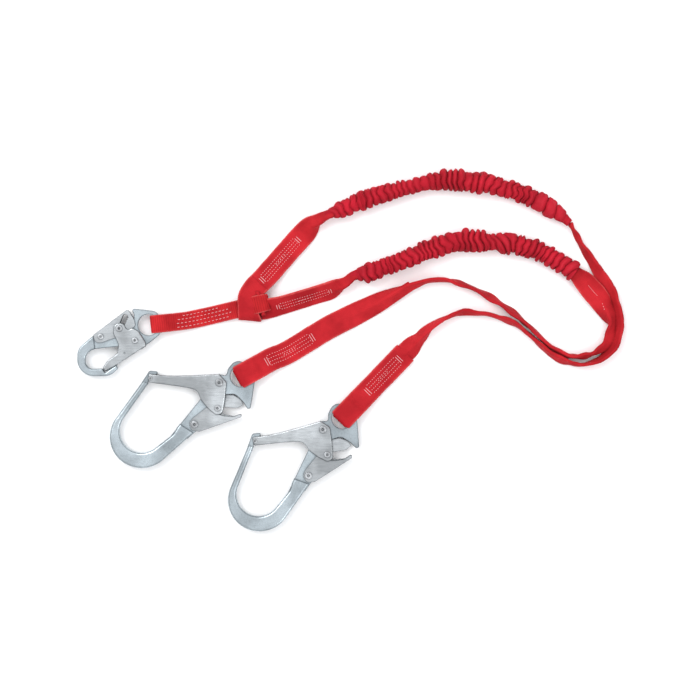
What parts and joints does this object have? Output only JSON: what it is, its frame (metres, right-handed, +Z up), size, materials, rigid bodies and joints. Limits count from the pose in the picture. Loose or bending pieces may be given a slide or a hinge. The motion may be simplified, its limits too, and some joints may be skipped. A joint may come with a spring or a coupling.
{
  "type": "shock absorbing lanyard",
  "caption": "Fall protection lanyard laid out flat: a snap hook on a short tether, and webbing legs with gathered shock absorber covers that end in large rebar hooks.",
  "frame": {"origin": "on the surface the lanyard lies on, under the middle of the object without its two free webbing legs", "axes": "+X from the snap hook towards the free webbing bends, +Z up from the surface"},
  "size_m": [0.8216, 0.5419, 0.028],
  "materials": {
    "forged_steel": "zinc plated, satin",
    "sheet_steel": "zinc plated, semi-bright",
    "rivet_steel": "zinc plated, bright",
    "spring_steel": "bare wire",
    "leg_webbing": "woven, matte",
    "tether_webbing": "ribbed weave, matte",
    "cover_webbing": "gathered tubular weave, matte",
    "core_webbing": "folded tear webbing"
  },
  "bodies": {
    "webbing": {"tether_strap": "tether_webbing", "tether_end_loop": "tether_webbing", "hitch_wrap": "leg_webbing", "hitch_bight": "leg_webbing", "leg_a_start": "leg_webbing", "leg_a_cover": "cover_webbing", "leg_a_core": "core_webbing", "leg_a_web": "leg_webbing", "leg_a_end": "leg_webbing", "leg_b_start": "leg_webbing", "leg_b_cover": "cover_webbing", "leg_b_core": "core_webbing", "leg_b_web": "leg_webbing", "leg_b_end": "leg_webbing"},
    "snap_loop": {"tether_hook_loop": "tether_webbing"},
    "snap_hook": {"snap_body": "forged_steel", "snap_gate_rivet": "rivet_steel", "snap_lever_rivet": "rivet_steel", "snap_gate_spring": "spring_steel", "snap_lever_spring": "spring_steel"},
    "snap_gate_group": {"snap_gate": "sheet_steel", "snap_latch_pin": "rivet_steel"},
    "snap_lever_group": {"snap_lock_lever": "sheet_steel"},
    "hook_a_loop": {"leg_a_hook_loop": "leg_webbing"},
    "hook_a": {"hook_a_body": "forged_steel", "hook_a_gate_rivet": "rivet_steel", "hook_a_lever_rivet": "rivet_steel", "hook_a_gate_spring": "spring_steel", "hook_a_lever_spring": "spring_steel"},
    "hook_a_gate_group": {"hook_a_gate": "sheet_steel", "hook_a_latch_pin": "rivet_steel", "hook_a_tip_pin": "rivet_steel"},
    "hook_a_lever_group": {"hook_a_lock_lever": "sheet_steel"},
    "hook_b_loop": {"leg_b_hook_loop": "leg_webbing"},
    "hook_b": {"hook_b_body": "forged_steel", "hook_b_gate_rivet": "rivet_steel", "hook_b_lever_rivet": "rivet_steel", "hook_b_gate_spring": "spring_steel", "hook_b_lever_spring": "spring_steel"},
    "hook_b_gate_group": {"hook_b_gate": "sheet_steel", "hook_b_latch_pin": "rivet_steel", "hook_b_tip_pin": "rivet_steel"},
    "hook_b_lever_group": {"hook_b_lock_lever": "sheet_steel"}
  },
  "joints": [
    {"name": "snap_strap_flex", "type": "hinge", "parent": "webbing", "child": "snap_loop", "pos_m": [-0.2343, 0.04216, 0.0092], "axis": [-0.1045, 0.9945, 0], "range_deg": [-90, 90]},
    {"name": "snap_swing", "type": "hinge", "parent": "snap_loop", "child": "snap_hook", "pos_m": [-0.2701, 0.0384, 0.0092], "axis": [0, 0, 1], "range_deg": [-20, 20]},
    {"name": "snap_gate_hinge", "type": "hinge", "parent": "snap_hook", "child": "snap_gate_group", "pos_m": [-0.29, 0.015, 0.0092], "axis": [0, 0, -1], "range_deg": [0, 25], "stiffness_Nm_per_rad": 0.08, "springref_deg": -57.3, "deforming": ["snap_gate_spring"]},
    {"name": "snap_lever_hinge", "type": "hinge", "parent": "snap_hook", "child": "snap_lever_group", "pos_m": [-0.3416, 0.0206, 0.0092], "axis": [0, 0, -1], "range_deg": [0, 8.25], "stiffness_Nm_per_rad": 0.03, "springref_deg": -57.3, "deforming": ["snap_lever_spring"]},
    {"name": "hook_a_strap_flex", "type": "hinge", "parent": "webbing", "child": "hook_a_loop", "pos_m": [0.04661, -0.076, 0.0104], "axis": [-0.7193, 0.6947, 0], "range_deg": [-90, 90]},
    {"name": "hook_a_swing", "type": "hinge", "parent": "hook_a_loop", "child": "hook_a", "pos_m": [0.0216, -0.1019, 0.0104], "axis": [0, 0, 1], "range_deg": [-8, 20]},
    {"name": "hook_a_gate_hinge", "type": "hinge", "parent": "hook_a", "child": "hook_a_gate_group", "pos_m": [-0.0077, -0.1188, 0.0104], "axis": [0, 0, 1], "range_deg": [0, 35], "stiffness_Nm_per_rad": 0.15, "springref_deg": -57.3, "deforming": ["hook_a_gate_spring"]},
    {"name": "hook_a_lever_hinge", "type": "hinge", "parent": "hook_a", "child": "hook_a_lever_group", "pos_m": [-0.0293, -0.1883, 0.0104], "axis": [0, 0, 1], "range_deg": [0, 12.5], "stiffness_Nm_per_rad": 0.05, "springref_deg": -57.3, "deforming": ["hook_a_lever_spring"]},
    {"name": "hook_b_strap_flex", "type": "hinge", "parent": "webbing", "child": "hook_b_loop", "pos_m": [-0.09949, -0.0215, 0.0104], "axis": [-0.4848, 0.8746, 0], "range_deg": [-90, 90]},
    {"name": "hook_b_swing", "type": "hinge", "parent": "hook_b_loop", "child": "hook_b", "pos_m": [-0.13098, -0.03895, 0.0104], "axis": [0, 0, 1], "range_deg": [-10, 20]},
    {"name": "hook_b_gate_hinge", "type": "hinge", "parent": "hook_b", "child": "hook_b_gate_group", "pos_m": [-0.1634, -0.0486, 0.0104], "axis": [0, 0, 1], "range_deg": [0, 35], "stiffness_Nm_per_rad": 0.15, "springref_deg": -57.3, "deforming": ["hook_b_gate_spring"]},
    {"name": "hook_b_lever_hinge", "type": "hinge", "parent": "hook_b", "child": "hook_b_lever_group", "pos_m": [-0.20052, -0.1112, 0.0104], "axis": [0, 0, 1], "range_deg": [0, 12.5], "stiffness_Nm_per_rad": 0.05, "springref_deg": -57.3, "deforming": ["hook_b_lever_spring"]}
  ],
  "couplings": [
    {"joint": "snap_lever_hinge", "follows": "snap_gate_hinge", "ratio": 0.32},
    {"joint": "hook_a_lever_hinge", "follows": "hook_a_gate_hinge", "ratio": 0.35},
    {"joint": "hook_b_lever_hinge", "follows": "hook_b_gate_hinge", "ratio": 0.35}
  ]
}
